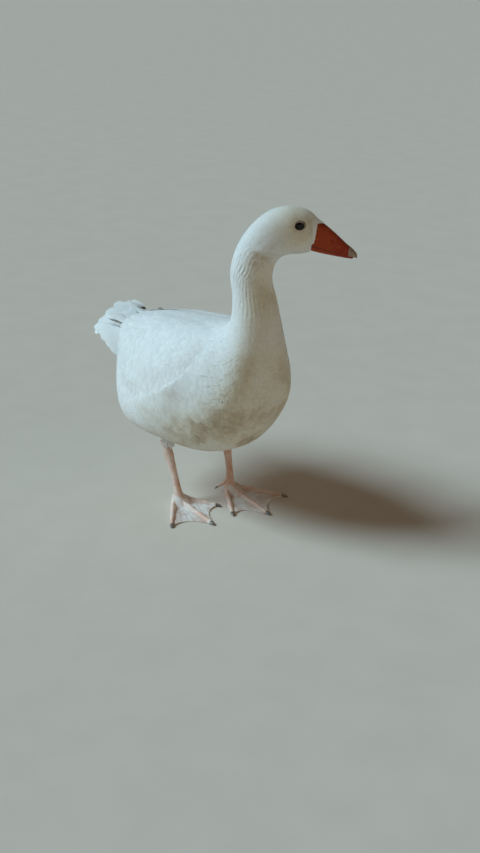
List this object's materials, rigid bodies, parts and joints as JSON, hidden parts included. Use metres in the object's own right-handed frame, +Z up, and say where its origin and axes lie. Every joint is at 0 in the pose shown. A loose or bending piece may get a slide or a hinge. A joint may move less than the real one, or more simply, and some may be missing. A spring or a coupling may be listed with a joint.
{
  "type": "domestic goose",
  "caption": "White domestic goose with an orange bill, standing on two webbed feet with its neck raised and its head turned to its left.",
  "frame": {"origin": "on the floor, under the middle of the goose's bounding box", "axes": "+X the way the trunk and feet point, +Y the bird's left, +Z up"},
  "size_m": [0.5522, 0.2624, 0.5674],
  "materials": {
    "plumage": "soft white feathers",
    "bill": "smooth orange horn, satin",
    "nail": "pale greyish horn",
    "eye": "wet dark brown",
    "leg": "scaly orange-pink skin, dusty on the webs",
    "claw": "dull grey horn"
  },
  "bodies": {
    "root": {"bill_lower": "bill", "bill_nail": "nail", "bill_upper": "bill", "claw_left_hind": "claw", "claw_left_inner": "claw", "claw_left_middle": "claw", "claw_left_outer": "claw", "claw_right_hind": "claw", "claw_right_inner": "claw", "claw_right_middle": "claw", "claw_right_outer": "claw", "eye_left": "eye", "eye_right": "eye", "foot_left": "leg", "foot_right": "leg", "head": "plumage", "hind_toe_left": "leg", "hind_toe_right": "leg", "neck_lower": "plumage", "neck_upper": "plumage", "shank_left": "leg", "shank_right": "leg", "tail": "plumage", "thigh_left": "plumage", "thigh_right": "plumage", "trunk": "plumage", "wing_left": "plumage", "wing_right": "plumage", "wing_tip_left": "plumage", "wing_tip_right": "plumage"}
  },
  "joints": []
}
